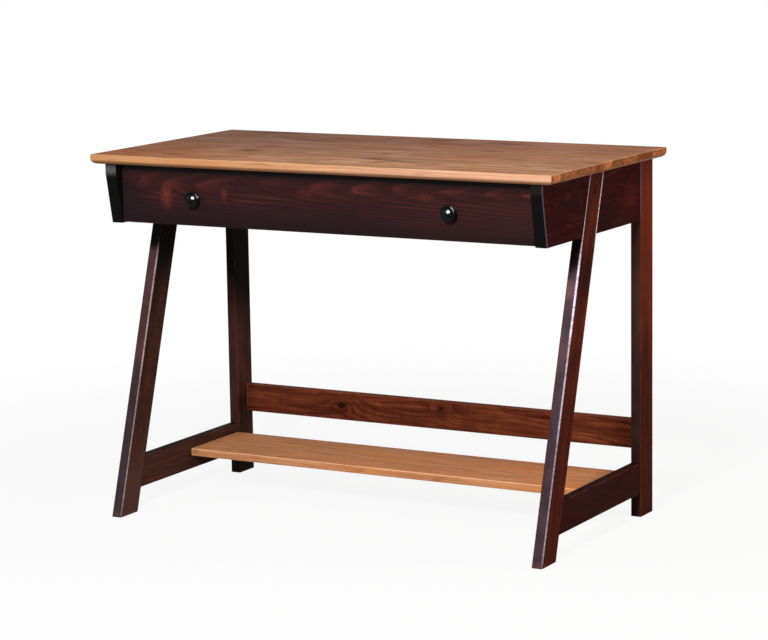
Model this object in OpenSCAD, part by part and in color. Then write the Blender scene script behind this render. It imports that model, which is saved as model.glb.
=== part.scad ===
// Laptop desk: a plank top on two end frames with leaning front legs, one wide drawer
// on ball-bearing slides, a back stretcher and a footrest shelf.
// Origin: on the floor, under the middle of the desktop. X right, Y back, Z up. Millimetres.

/* [Desktop] */
// Width of the desktop, left to right
top_w = 1067; // [900:1:1250]
// Depth of the desktop, front to back
top_d = 553; // [520:1:620]
// Thickness of the desktop
top_t = 20.5; // [19:0.5:30]
// Height of the writing surface above the floor
desk_h = 775; // [700:1:800]
// Radius of the rounded lower half of the desktop's edge
top_roll_r = 12; // [4:0.5:14]
// Radius of the eased upper arris of the desktop
top_arris_r = 1.5; // [0.5:0.5:3]
// Overhang of the desktop past the legs at each side
side_overhang = 25; // [5:0.5:40]
// Overhang of the desktop past the rear legs
rear_overhang = 12.5; // [5:0.5:30]

/* [Legs] */
// Thickness of a leg, across the desk
leg_t = 23.5; // [20:0.5:30]
// Width of a leg, seen from the side and square to its length
leg_w = 62.5; // [45:0.5:75]
// Lean of the front legs, backwards from the vertical, in degrees
lean = 17.2; // [12:0.1:20]
// Setback of the front feet behind the desktop's front edge
foot_setback = 0; // [0:1:30]
// Radius of the eased long arrises of legs and stretchers
arris_r = 3; // [1:0.5:5]
// Step between the face of a leg and the faces of the boards that meet it
reveal = 1; // [0.5:0.5:4]

/* [Side panels and case] */
// Height of the drawer case under the desktop
case_h = 126; // [112:1:150]
// Thickness of a side panel behind the legs that are let into it
web_t = 4.5; // [4:0.5:10]
// Setback of a side panel's nose behind the desktop's front edge
nose_setback = 15.5; // [5:0.5:30]
// Height of the upright part of a side panel's nose
nose_h = 20; // [8:1:40]
// How far a side panel's nose slopes back at its lower end
nose_slope = 20.5; // [0:0.5:30]
// Width of the small chamfers on the side panels
chamfer = 1.5; // [0.5:0.1:2.5]
// Thickness of the case back
back_t = 18; // [12:0.5:22]
// Step between the rear ends of the side panels and the case back
back_inset = 6; // [2:0.5:12]
// Thickness of the flat rail behind the drawer front
rail_t = 18; // [12:0.5:22]
// Depth of that rail, front to back
rail_d = 70; // [50:1:100]

/* [Stretchers and footrest] */
// Height of the side stretchers' lower edge above the floor
side_low = 49.5; // [35:0.5:90]
// Height of the side stretchers themselves
side_h = 66.5; // [50:0.5:80]
// Height of the back stretcher's lower edge above the floor
back_low = 137; // [120:1:260]
// Height of the back stretcher itself
back_h = 63; // [50:1:90]
// Thickness of the back stretcher
back_stretcher_t = 20; // [16:0.5:26]
// Step between the rear legs' back faces and the back stretcher
back_stretcher_inset = 4; // [0:0.5:12]
// Step from the side stretchers' upper edge down to the footrest
shelf_drop = 20.5; // [8:0.5:30]
// Thickness of the footrest
shelf_t = 17; // [15:0.5:24]
// Depth of the footrest, front to back
shelf_d = 195; // [140:1:230]
// Gap between the footrest and the rear legs
shelf_gap = 1; // [0:0.5:8]

/* [Drawer] */
// Thickness of the drawer front
front_t = 20; // [16:0.5:24]
// Setback of the drawer front behind the side panels' noses
front_setback = 21.5; // [19:0.5:40]
// Step from the side panels' lower edges up to the drawer front's
front_lift = 2.5; // [0:0.5:6]
// Gap between the drawer front and each side panel
front_gap = 2; // [1:0.1:4]
// Gap between the drawer front and the desktop
front_top_gap = 4; // [2:0.1:6]
// Radius of the eased long arrises of the drawer front
front_arris_r = 1.5; // [0.5:0.1:3]
// Thickness of the boards of the drawer box
box_t = 13; // [11:0.5:16]
// Height of the drawer box's lower edge above the case's lower edge
box_lift = 11; // [6:0.5:16]
// Gap between the drawer box and the rail over it
box_gap = 5; // [3:0.5:12]
// Number of dovetails at each corner of the drawer box
tails = 4; // [3:1:5]
// Width of a dovetail pin at its narrow end
pin_w = 6; // [4:0.5:8]
// Flare of a dovetail, sideways for each unit of length
tail_flare = 0.16; // [0.1:0.01:0.2]
// Thickness of the drawer's plywood bottom
bottom_t = 6; // [4:0.5:8]
// Depth of the groove that holds the bottom
groove_d = 6; // [4:0.5:7]
// Height of the bottom's underside above the box's lower edge
bottom_lift = 8; // [6:0.5:12]

/* [Knobs] */
// Distance of each knob from its side panel
knob_inset = 182.5; // [120:0.5:300]
// Height of the knobs above the drawer front's lower edge
knob_up = 57; // [40:1:80]
// Largest diameter of a knob
knob_d = 33; // [28:0.5:38]
// Projection of a knob from the drawer front
knob_h = 27; // [24:0.5:34]
// Diameter of a knob's foot
knob_foot_d = 20; // [16:0.5:22]
// Diameter of a knob's waist
knob_waist_d = 13; // [10:0.5:15]
// Thickness of the rim around a knob's dome
knob_rim_t = 4.5; // [3:0.5:5]
// Step between the rim and the dome
knob_step = 2.5; // [1:0.5:4]

/* [Drawer slides] */
// Closed length of a slide, also the travel of the drawer
slide_len = 400; // [350:5:410]
// Height of a slide
slide_h = 45; // [44:0.5:48]
// Space that a slide takes between panel and drawer box
slide_w = 12.7; // [12.7:0.1:14]
// Thickness of the slides' steel
sheet = 1.2; // [1:0.05:1.4]
// Diameter of the bearing balls
ball_d = 3.5; // [3:0.1:4]
// Running clearance between a ball and each race
ball_run = 0.3; // [0.3:0.01:0.4]
// Number of balls in each row
ball_count = 8; // [4:1:9]
// Distance between the balls of a row
ball_pitch = 22; // [12:0.5:24]
// Height of the slides' middle above the drawer box's lower edge
slide_up = 36; // [26:0.5:42]

/* [Fasteners] */
// Diameter of the wooden dowels
dowel_d = 8; // [6:0.5:10]
// How far a dowel reaches into the end of a board
dowel_end = 20; // [15:0.5:25]
// How far a dowel reaches into the side of a board
dowel_side = 13; // [10:0.5:15]
// Distance between two dowels of a stretcher
dowel_pitch = 32; // [24:1:36]
// Shank diameter of the wood screws
screw_d = 4; // [3:0.1:4.5]
// Head diameter of the wood screws
screw_head_d = 7.6; // [6:0.1:8.5]
// Length of the wood screws
screw_len = 18; // [14:0.5:20]
// Width of a desktop clip
clip_w = 18; // [14:0.5:24]
// Thickness of a desktop clip
clip_t = 2; // [1.5:0.1:2.5]
// Reach of a clip along the desktop
clip_foot = 20; // [16:0.5:26]
// Depth of a clip in its slot
clip_tongue = 9; // [6:0.5:11]
// Distance of a clip's slot below the desktop
clip_drop = 11; // [8:0.5:13]

/* [Hidden] */
$fn = 48;

// Clearance round a dowel or a screw in its hole
fit = 0.05;
// Space left for glue at each end of a dowel
glue_gap = 1;
// Extra length of a cutter past the face that it cuts
over = 1;
// Length of the drawer box past each end of its slides
box_slack = 2;
// Gap between the drawer front and the rail behind it
rail_gap = 4;
// Length of a ball cage past its first and last ball
cage_end = 7;
// Radial clearance of a ball in its cage
pocket_gap = 0.1;
// Thickness of a ball cage
cage_t = 0.7;
// Clearance between a ball cage and the slide members beside it
cage_gap = 0.45;
// Height of the turned-in lips of the slide members
lip = 1;
// Clearance between a ball cage's edges and the lips
cage_tip_gap = 0.4;
// How far the balls sit towards the panel from the middle of the inner race
ball_shift = 1;
// Clearance of the drawer's bottom in each groove
bottom_play = 0.5;
// Thickness of a knob's foot, and radius of the core between its rim and its dome
knob_foot_h = 2;
knob_core_r = 2;

// Planes of the end frames, on the right-hand side
under_z = desk_h - top_t;
leg_x = top_w / 2 - side_overhang;
leg_in = leg_x - leg_t;
leg_mid = leg_x - leg_t / 2;
panel_out = leg_x - reveal;
panel_in = leg_in - web_t;
stretcher_in = leg_in + reveal;

// Planes from front to back
foot_y = -top_d / 2 + foot_setback;
rear_back = top_d / 2 - rear_overhang;
rear_front = rear_back - leg_w;
nose_y = -top_d / 2 + nose_setback;
panel_end = rear_back - reveal;
case_back_y = panel_end - back_inset - back_t;
drawer_y = nose_y + front_setback;
box_y = drawer_y + front_t;
box_inner_y = box_y + box_t;
box_end = box_y + slide_len + 2 * box_slack;
box_back_y = box_end - box_t;
slide_y = box_y + box_slack;
rail_y = box_y + rail_gap;
shelf_y = rear_front - shelf_gap - shelf_d;

// Heights
case_z = under_z - case_h;
box_z = case_z + box_lift;
box_h = case_h - box_lift - rail_t - box_gap;
box_top = box_z + box_h;
bottom_z = box_z + bottom_lift;
slide_z = box_z + slide_up;
knob_x = panel_in - knob_inset;
knob_z = case_z + front_lift + knob_up;
shelf_top = side_low + side_h - shelf_drop;
shelf_z = shelf_top - shelf_t;
shelf_mid_z = shelf_top - shelf_t / 2;
box_half = panel_in - slide_w;

// The leaning front leg: the places of its front and rear faces at height z
function lean_front(z) = foot_y + z * tan(lean);
function lean_rear(z) = lean_front(z) + leg_w / cos(lean);
function lean_mid(z) = (lean_front(z) + lean_rear(z)) / 2;

// Races of the slide: heights from its middle line
race_outer = slide_h / 2 - sheet;
ball_outer_v = race_outer - ball_run - ball_d / 2;
middle_top = ball_outer_v - ball_d / 2 - ball_run;
race_middle = middle_top - sheet;
ball_inner_v = race_middle - ball_run - ball_d / 2;
inner_top = ball_inner_v - ball_d / 2 - ball_run;

// Places across the slide, counted from the panel towards the drawer
middle_u = sheet + 2 * cage_gap + cage_t;
cage_outer_u = sheet + cage_gap;
cage_inner_u = middle_u + sheet + cage_gap;
inner_tip_u = cage_inner_u + cage_t + cage_gap;
ball_u = (inner_tip_u + slide_w - sheet) / 2 - ball_shift;
lip_u = ball_u + ball_d / 2 + ball_run;
cage_tip_u = lip_u - cage_tip_gap;
cage_len = (ball_count - 1) * ball_pitch + 2 * cage_end;
cage_y = slide_y + slide_len / 2 - cage_len / 2;
outer_hole_steps = [0.09, 0.5, 0.91];
inner_hole_steps = [0.12, 0.46, 0.88];

// Screws
screw_head_h = (screw_head_d - screw_d) / 2;
screw_tip = 4;
screw_point_d = 1;
knob_screw_d = 4;
knob_screw_head_d = 9;
knob_screw_head_h = 2.6;
knob_screw_grip = 11;
// Wood left over the tips of the screws in the drawer's sides and in its front
side_cover = 1;
front_cover = 6;
// How far the rail's screws reach into the desktop
rail_screw_bite = 13;

// Distances of the leg screws from the case's lower edge, the desktop and a rear leg's front face
leg_screw_up = 8;
leg_screw_down = 25;
leg_screw_in = 12;
// Distances of the outer footrest dowels from the footrest's front and rear edge
shelf_dowel_front = 25;
shelf_dowel_rear = 32;
// Distances of the outer case back dowels from the case back's lower edge and the desktop
back_dowel_up = 20;
back_dowel_down = 28;
// Distance of the rail's dowels from its long edges
rail_dowel_in = 17;
// Distance of the drawer front's screws from the middle of a knob
front_screw_aside = 70;
// Distances of the side clips from the front leg and from the case back
clip_from_leg = 40;
clip_from_back = 60;
// Room for a clip's tongue in its slot, below it and in front of it, and at each side
slot_room = 1;
slot_side = 2;
// Distance of a clip's screw from the wall that the clip hooks into
clip_hole = 12;

// Places of the fasteners
leg_screw_low = case_z + leg_screw_up;
leg_screw_high = under_z - leg_screw_down;
rear_screw_y = rear_front + leg_screw_in;
shelf_dowel_y = [
    shelf_y + shelf_dowel_front, shelf_y + shelf_d / 2, shelf_y + shelf_d - shelf_dowel_rear
];
back_dowel_z = [case_z + back_dowel_up, case_z + case_h / 2, under_z - back_dowel_down];
rail_dowel_y = [rail_y + rail_dowel_in, rail_y + rail_d - rail_dowel_in];
rail_screw_x = [-0.75, -0.27, 0.27, 0.75] * panel_in;
front_screw_x = [for (s = [-1, 1], t = [-1, 1]) s * knob_x + t * front_screw_aside];
side_clip_y = [lean_rear(under_z) + clip_from_leg, case_back_y - clip_from_back];
back_clip_x = [-0.62, 0, 0.62] * panel_in;

// Two-dimensional shapes pushed along an axis; the sketch planes are YZ, XZ and XY
module along_x(x0, x1) {
    translate([x0, 0, 0]) rotate([90, 0, 90]) linear_extrude(x1 - x0) children();
}
module along_y(y0, y1) {
    translate([0, y1, 0]) rotate([90, 0, 0]) linear_extrude(y1 - y0) children();
}
module along_z(z0, z1) {
    translate([0, 0, z0]) linear_extrude(z1 - z0) children();
}

// A part drawn for the right-hand side, or its mirror image for the left
module on_side(side) {
    if (side == "right") children();
    else mirror([1, 0, 0]) children();
}

// Rectangle between two corners with round corners of radius r
module round_rect(x0, y0, x1, y1, r) {
    translate([x0 + r, y0]) square([x1 - x0 - 2 * r, y1 - y0]);
    translate([x0, y0 + r]) square([x1 - x0, y1 - y0 - 2 * r]);
    for (x = [x0 + r, x1 - r], y = [y0 + r, y1 - r]) translate([x, y]) circle(r);
}

// Box between two corners
module block(low, high) {
    translate(low) cube(high - low);
}

// Countersunk wood screw: its head's face is at the origin and it points along +Z
module wood_screw(gap = 0, long = screw_len) {
    translate([0, 0, -gap])
        cylinder(h = screw_head_h + gap, d1 = screw_head_d + 2 * gap, d2 = screw_d + 2 * gap);
    cylinder(h = long - screw_tip, d = screw_d + 2 * gap);
    translate([0, 0, long - screw_tip])
        cylinder(h = screw_tip + gap, d1 = screw_d + 2 * gap, d2 = screw_point_d + gap);
}

// Dowel along +Z, or its hole where gap is given; it reaches below and above the joint's plane
module dowel(below, above, gap = 0, ends = 0) {
    translate([0, 0, -below - ends]) cylinder(h = below + above + 2 * ends, d = dowel_d + 2 * gap);
}

// A fastener drawn along +Z, turned to point along +X or +Y from pos
module point_x(pos) {
    translate(pos) rotate([0, 90, 0]) children();
}
module point_y(pos) {
    translate(pos) rotate([-90, 0, 0]) children();
}

// Edge of the desktop: eased upper arris and a quarter-round roll below
module edge_profile(half) {
    difference() {
        translate([-half, under_z]) square([2 * half, top_t]);
        for (s = [-1, 1]) {
            difference() {
                translate([s * half - top_roll_r, under_z - over])
                    square([2 * top_roll_r, top_roll_r + over]);
                translate([s * (half - top_roll_r), under_z + top_roll_r]) circle(top_roll_r);
                translate([s * (half - 2 * top_roll_r) - top_roll_r, under_z - over])
                    square([2 * top_roll_r, top_roll_r + 2 * over]);
            }
            difference() {
                translate([s * half - top_arris_r, desk_h - top_arris_r])
                    square([2 * top_arris_r, top_arris_r + over]);
                translate([s * (half - top_arris_r), desk_h - top_arris_r]) circle(top_arris_r);
                translate([s * (half - 2 * top_arris_r) - top_arris_r, desk_h - 2 * top_arris_r])
                    square([2 * top_arris_r, 2 * top_arris_r + 2 * over]);
            }
        }
    }
}

module desktop() {
    color([0.66, 0.46, 0.32])
    difference() {
        intersection() {
            along_x(-top_w / 2 - over, top_w / 2 + over) edge_profile(top_d / 2);
            along_y(-top_d / 2 - over, top_d / 2 + over) edge_profile(top_w / 2);
        }
        front_rail_screw_set(fit);
        clip_screw_set(fit);
    }
}

// Section of a leg, with its long arrises eased
module leg_section() {
    round_rect(leg_in, 0, leg_x, leg_w, arris_r);
}

// Outline of the leaning leg, seen from the side
module lean_outline() {
    polygon([
        [lean_front(0), 0], [lean_rear(0), 0],
        [lean_rear(under_z), under_z], [lean_front(under_z), under_z]
    ]);
}

module front_leg(side) {
    color([0.24, 0.13, 0.12])
    on_side(side) difference() {
        intersection() {
            translate([0, foot_y, 0]) rotate([-lean, 0, 0])
                along_z(-leg_w, under_z / cos(lean) + leg_w) leg_section();
            block([leg_in - over, -top_d, 0], [leg_x + over, top_d, under_z]);
        }
        side_stretcher_dowel_set(fit, glue_gap);
        front_rail_dowel_set(fit, glue_gap);
        leg_screw_set(fit);
        slide_case_screw_set(fit);
    }
}

module rear_leg(side) {
    color([0.26, 0.13, 0.11])
    on_side(side) difference() {
        translate([0, rear_front, 0]) along_z(0, under_z) leg_section();
        side_stretcher_dowel_set(fit, glue_gap);
        back_stretcher_dowel_set(fit, glue_gap);
        case_back_dowel_set(fit, glue_gap);
        leg_screw_set(fit);
    }
}

// Section of a side panel, square to its length, with its lower arrises chamfered
module panel_section() {
    polygon([
        [panel_in, under_z], [panel_in, case_z + chamfer], [panel_in + chamfer, case_z],
        [panel_out - chamfer, case_z], [panel_out, case_z + chamfer], [panel_out, under_z]
    ]);
}

// Plan of a side panel's nose, with both arrises chamfered; the nose is at y = 0
module nose_plan() {
    polygon([
        [panel_in - over, chamfer + over], [panel_in + chamfer, 0], [panel_out - chamfer, 0],
        [panel_out + over, chamfer + over], [panel_out + over, 2 * top_d], [panel_in - over, 2 * top_d]
    ]);
}

// Blank of a side panel: its section, cut by the upright and by the sloping part of the nose
module panel_blank() {
    slope = atan(nose_slope / (case_h - nose_h));
    intersection() {
        along_y(nose_y - over, panel_end) panel_section();
        translate([0, nose_y, 0]) along_z(case_z - over, under_z + over) nose_plan();
        translate([0, nose_y, under_z - nose_h]) rotate([slope, 0, 0])
            along_z(-2 * case_h, 2 * top_d) nose_plan();
    }
}

module side_panel(side) {
    color([0.23, 0.12, 0.11])
    on_side(side) difference() {
        panel_blank();
        along_x(leg_in, panel_out + over) lean_outline();
        block([leg_in, rear_front, case_z - over], [panel_out + over, rear_back + over, under_z + over]);
        case_back_dowel_set(fit, glue_gap);
        front_rail_dowel_set(fit, glue_gap);
        leg_screw_set(fit);
        slide_case_screw_set(fit);
        for (y = side_clip_y) side_clip_slot(y);
    }
}

module side_stretcher(side) {
    low = side_low;
    high = side_low + side_h;
    color([0.23, 0.12, 0.11])
    on_side(side) difference() {
        intersection() {
            along_y(foot_y, rear_front) round_rect(stretcher_in, low, panel_out, high, arris_r);
            along_x(leg_in, leg_x) polygon([
                [lean_rear(low), low], [rear_front, low], [rear_front, high], [lean_rear(high), high]
            ]);
        }
        side_stretcher_dowel_set(fit, glue_gap);
        shelf_dowel_set(fit, glue_gap);
    }
}

module back_stretcher() {
    back_y = rear_back - back_stretcher_inset;
    color([0.35, 0.17, 0.12])
    difference() {
        along_x(-leg_in, leg_in)
            round_rect(back_y - back_stretcher_t, back_low, back_y, back_low + back_h, arris_r);
        for (side = ["left", "right"]) on_side(side) back_stretcher_dowel_set(fit, glue_gap);
    }
}

module footrest_shelf() {
    color([0.69, 0.46, 0.30])
    difference() {
        along_x(-stretcher_in, stretcher_in)
            round_rect(shelf_y, shelf_z, shelf_y + shelf_d, shelf_top, arris_r);
        for (side = ["left", "right"]) on_side(side) shelf_dowel_set(fit, glue_gap);
    }
}

module case_back() {
    color([0.30, 0.16, 0.12])
    difference() {
        along_x(-panel_in, panel_in) union() {
            round_rect(case_back_y, case_z, case_back_y + back_t, under_z - 2 * arris_r, arris_r);
            translate([case_back_y, under_z - 4 * arris_r]) square([back_t, 4 * arris_r]);
        }
        for (side = ["left", "right"]) on_side(side) case_back_dowel_set(fit, glue_gap);
        for (x = back_clip_x) back_clip_slot(x);
    }
}

// Flat rail behind the drawer front, which carries the front of the desktop
module front_rail() {
    color([0.52, 0.36, 0.24])
    difference() {
        block([-panel_in, rail_y, under_z - rail_t], [panel_in, rail_y + rail_d, under_z]);
        for (side = ["left", "right"]) on_side(side) front_rail_dowel_set(fit, glue_gap);
        front_rail_screw_set(fit);
    }
}

// Fastener places on the right-hand side, shared by the fasteners and by their holes
module leg_screw_set(gap = 0) {
    for (z = [leg_screw_low, leg_screw_high]) {
        point_x([panel_in, lean_mid(z), z]) wood_screw(gap);
        point_x([panel_in, rear_screw_y, z]) wood_screw(gap);
    }
}

module side_stretcher_dowel_set(gap = 0, ends = 0) {
    for (s = [-1, 1]) {
        z = side_low + side_h / 2 + s * dowel_pitch / 2;
        point_y([leg_mid, lean_rear(z), z]) dowel(dowel_end, dowel_end, gap, ends);
        point_y([leg_mid, rear_front, z]) dowel(dowel_end, dowel_end, gap, ends);
    }
}

module back_stretcher_dowel_set(gap = 0, ends = 0) {
    y = rear_back - back_stretcher_inset - back_stretcher_t / 2;
    for (s = [-1, 1])
        point_x([leg_in, y, back_low + back_h / 2 + s * dowel_pitch / 2])
            dowel(dowel_end, dowel_side, gap, ends);
}

module shelf_dowel_set(gap = 0, ends = 0) {
    for (y = shelf_dowel_y)
        point_x([stretcher_in, y, shelf_mid_z]) dowel(dowel_end, dowel_side, gap, ends);
}

module case_back_dowel_set(gap = 0, ends = 0) {
    reach = leg_in - panel_in + dowel_side;
    for (z = back_dowel_z)
        point_x([panel_in, case_back_y + back_t / 2, z]) dowel(dowel_end, reach, gap, ends);
}

module front_rail_dowel_set(gap = 0, ends = 0) {
    for (y = rail_dowel_y)
        point_x([panel_in, y, under_z - rail_t / 2]) dowel(dowel_end, dowel_side, gap, ends);
}

module front_rail_screw_set(gap = 0) {
    for (x = rail_screw_x)
        translate([x, rail_y + rail_d / 2, under_z - rail_t]) wood_screw(gap, rail_t + rail_screw_bite);
}

module clip_screw_set(gap = 0) {
    for (side = ["left", "right"], y = side_clip_y) on_side(side)
        translate([panel_in - clip_hole, y, under_z - clip_t]) wood_screw(gap);
    for (x = back_clip_x)
        translate([x, case_back_y - clip_hole, under_z - clip_t]) wood_screw(gap);
}

module slide_case_screw_set(gap = 0) {
    for (step = outer_hole_steps)
        point_x([panel_in - sheet, slide_y + step * slide_len, slide_z]) wood_screw(gap);
}

module slide_drawer_screw_set(gap = 0) {
    for (step = inner_hole_steps)
        translate([box_half + sheet, slide_y + step * slide_len, slide_z]) rotate([0, -90, 0])
            wood_screw(gap, box_t - side_cover);
}

module knob_screw_set(gap = 0) {
    for (s = [-1, 1])
        translate([s * knob_x, box_inner_y, knob_z]) rotate([90, 0, 0]) {
            translate([0, 0, -knob_screw_head_h])
                cylinder(h = knob_screw_head_h, d = knob_screw_head_d);
            cylinder(h = box_t + front_t + knob_screw_grip, d = knob_screw_d + 2 * gap);
        }
}

module drawer_front_screw_set(gap = 0) {
    for (x = front_screw_x)
        translate([x, box_inner_y, box_z + box_h / 2]) rotate([90, 0, 0])
            wood_screw(gap, box_t + front_t - front_cover);
}

// The fasteners themselves, each group a set of separate solids
module both_sides() {
    for (side = ["left", "right"]) on_side(side) children();
}
module leg_screws() {
    color([0.62, 0.58, 0.48]) both_sides() leg_screw_set();
}
module side_stretcher_dowels() {
    color([0.80, 0.66, 0.46]) both_sides() side_stretcher_dowel_set();
}
module back_stretcher_dowels() {
    color([0.80, 0.66, 0.46]) both_sides() back_stretcher_dowel_set();
}
module shelf_dowels() {
    color([0.80, 0.66, 0.46]) both_sides() shelf_dowel_set();
}
module case_back_dowels() {
    color([0.80, 0.66, 0.46]) both_sides() case_back_dowel_set();
}
module front_rail_dowels() {
    color([0.80, 0.66, 0.46]) both_sides() front_rail_dowel_set();
}
module front_rail_screws() {
    color([0.62, 0.58, 0.48]) front_rail_screw_set();
}
module top_clip_screws() {
    color([0.62, 0.58, 0.48]) clip_screw_set();
}
module slide_case_screws() {
    color([0.62, 0.58, 0.48]) both_sides() slide_case_screw_set();
}
module slide_drawer_screws() {
    color([0.62, 0.58, 0.48]) both_sides() slide_drawer_screw_set();
}
module knob_screws() {
    color([0.62, 0.58, 0.48]) knob_screw_set();
}
module drawer_front_screws() {
    color([0.62, 0.58, 0.48]) drawer_front_screw_set();
}

// Stepped desktop clip, seen from its end: foot under the desktop, tongue in the slot.
// The wall that it hooks into starts at 0 and lies to the right.
module clip_outline() {
    polygon([
        [-clip_foot, under_z], [-clip_foot, under_z - clip_t], [-2 * clip_t, under_z - clip_t],
        [-2 * clip_t, under_z - clip_drop - clip_t], [clip_tongue, under_z - clip_drop - clip_t],
        [clip_tongue, under_z - clip_drop], [-clip_t, under_z - clip_drop], [-clip_t, under_z]
    ]);
}

// Slot for a clip's tongue: its upper face is the one that the tongue pulls on
module side_clip_slot(y) {
    block([panel_in - over, y - clip_w / 2 - slot_side, under_z - clip_drop - clip_t - slot_room],
        [panel_in + clip_tongue + slot_room, y + clip_w / 2 + slot_side, under_z - clip_drop]);
}
module back_clip_slot(x) {
    block([x - clip_w / 2 - slot_side, case_back_y - over, under_z - clip_drop - clip_t - slot_room],
        [x + clip_w / 2 + slot_side, case_back_y + clip_tongue + slot_room, under_z - clip_drop]);
}

module top_clips() {
    color([0.70, 0.70, 0.68])
    difference() {
        union() {
            both_sides() for (y = side_clip_y)
                along_y(y - clip_w / 2, y + clip_w / 2) translate([panel_in, 0]) clip_outline();
            for (x = back_clip_x)
                along_x(x - clip_w / 2, x + clip_w / 2) translate([case_back_y, 0]) clip_outline();
        }
        clip_screw_set(fit);
    }
}

// Point of a slide's section: u counts from the panel towards the drawer, v up from the middle
function slide_point(u, v) = [panel_in - u, slide_z + v];

// Section of a channel whose web has its outer face at web_u and whose flanges end at tip_u
module channel(web_u, tip_u, half, wall) {
    inside_u = web_u + (tip_u > web_u ? wall : -wall);
    polygon([
        slide_point(web_u, -half), slide_point(tip_u, -half), slide_point(tip_u, wall - half),
        slide_point(inside_u, wall - half), slide_point(inside_u, half - wall),
        slide_point(tip_u, half - wall), slide_point(tip_u, half), slide_point(web_u, half)
    ]);
}

// The same with a turned-in lip at the end of each flange, which keeps the balls in their race
module lipped_channel(web_u, half) {
    tip_u = lip_u + sheet;
    race = half - sheet;
    inside_u = web_u + sheet;
    polygon([
        slide_point(web_u, -half), slide_point(tip_u, -half), slide_point(tip_u, lip - race),
        slide_point(lip_u, lip - race), slide_point(lip_u, -race), slide_point(inside_u, -race),
        slide_point(inside_u, race), slide_point(lip_u, race), slide_point(lip_u, race - lip),
        slide_point(tip_u, race - lip), slide_point(tip_u, half), slide_point(web_u, half)
    ]);
}

module slide_outer(side) {
    color([0.72, 0.73, 0.74])
    on_side(side) difference() {
        along_y(slide_y, slide_y + slide_len) lipped_channel(0, slide_h / 2);
        slide_case_screw_set(fit);
    }
}

module slide_middle(side) {
    color([0.76, 0.77, 0.78])
    on_side(side) along_y(slide_y, slide_y + slide_len) lipped_channel(middle_u, middle_top);
}

module slide_inner(side) {
    color([0.72, 0.73, 0.74])
    on_side(side) difference() {
        along_y(slide_y, slide_y + slide_len) channel(slide_w, inner_tip_u, inner_top, sheet);
        slide_drawer_screw_set(fit);
    }
}

// Places of the balls of one side: two rows, above and below the slide's middle line
module ball_rows(v) {
    for (s = [-1, 1], i = [0 : ball_count - 1])
        translate([panel_in - ball_u, cage_y + cage_end + i * ball_pitch, slide_z + s * v]) children();
}

// Ball cage: a thin channel with a round pocket for every ball
module ball_cage(side, u, v) {
    color([0.30, 0.31, 0.32])
    on_side(side) difference() {
        along_y(cage_y, cage_y + cage_len) channel(u, cage_tip_u, v + cage_t / 2, cage_t);
        ball_rows(v) cylinder(h = 2 * cage_t, d = ball_d + 2 * pocket_gap, center = true);
    }
}
module ball_cage_outer(side) {
    ball_cage(side, cage_outer_u, ball_outer_v);
}
module ball_cage_inner(side) {
    ball_cage(side, cage_inner_u, ball_inner_v);
}
module balls_outer(side) {
    color([0.85, 0.86, 0.87]) on_side(side) ball_rows(ball_outer_v) sphere(d = ball_d);
}
module balls_inner(side) {
    color([0.85, 0.86, 0.87]) on_side(side) ball_rows(ball_inner_v) sphere(d = ball_d);
}

// Drawer front: a plain inset board screwed to the dovetailed box
module drawer_front() {
    color([0.25, 0.14, 0.13])
    difference() {
        along_x(-panel_in + front_gap, panel_in - front_gap)
            round_rect(drawer_y, case_z + front_lift, box_y, under_z - front_top_gap, front_arris_r);
        knob_screw_set(fit);
        drawer_front_screw_set(fit);
    }
}

// Dovetails between the box's lower and upper edge: half widths at tip and root, and the middles
tail_pitch = box_h / tails;
tail_tip = (tail_pitch - pin_w) / 2;
tail_root = tail_tip - box_t * tail_flare;
tail_z = [for (i = [0 : tails - 1]) box_z + (i + 0.5) * tail_pitch];

// The outline's corners along one end of a drawer side, going up
function tail_corners(root, tip) = [
    for (z = tail_z) each [
        [root, z - tail_root], [tip, z - tail_tip], [tip, z + tail_tip], [root, z + tail_root]
    ]
];
function backwards(list) = [for (i = [len(list) - 1 : -1 : 0]) list[i]];

// The bottom panel, and the groove for it where gap is given
module bottom_slab(gap = 0) {
    reach = groove_d - (gap > 0 ? 0 : bottom_play);
    block([-box_half + box_t - reach, box_inner_y - reach, bottom_z - gap],
        [box_half - box_t + reach, box_back_y + reach, bottom_z + bottom_t + gap]);
}

module drawer_side(side) {
    color([0.80, 0.66, 0.47])
    on_side(side) difference() {
        along_x(box_half - box_t, box_half) polygon(concat(
            [[box_inner_y, box_z], [box_back_y, box_z]], tail_corners(box_back_y, box_end),
            [[box_back_y, box_top], [box_inner_y, box_top]], backwards(tail_corners(box_inner_y, box_y))
        ));
        bottom_slab(fit);
        slide_drawer_screw_set(fit);
    }
}

// Cutters for the sockets in the box's front and back, drawn past both faces of the board
module tail_cutters(root, tip) {
    past = tip > root ? over : -over;
    more = over * tail_flare;
    for (z = tail_z) polygon([
        [root - past, z - tail_root + more], [tip + past, z - tail_tip - more],
        [tip + past, z + tail_tip + more], [root - past, z + tail_root - more]
    ]);
}

module drawer_box_front() {
    color([0.80, 0.66, 0.47])
    difference() {
        block([-box_half, box_y, box_z], [box_half, box_inner_y, box_top]);
        both_sides() along_x(box_half - box_t, box_half + over) tail_cutters(box_inner_y, box_y);
        bottom_slab(fit);
        knob_screw_set(fit);
        drawer_front_screw_set(fit);
    }
}

module drawer_box_back() {
    color([0.80, 0.66, 0.47])
    difference() {
        block([-box_half, box_back_y, box_z], [box_half, box_end, box_top]);
        both_sides() along_x(box_half - box_t, box_half + over) tail_cutters(box_back_y, box_end);
        bottom_slab(fit);
    }
}

module drawer_bottom() {
    color([0.83, 0.72, 0.54]) bottom_slab();
}

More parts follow.
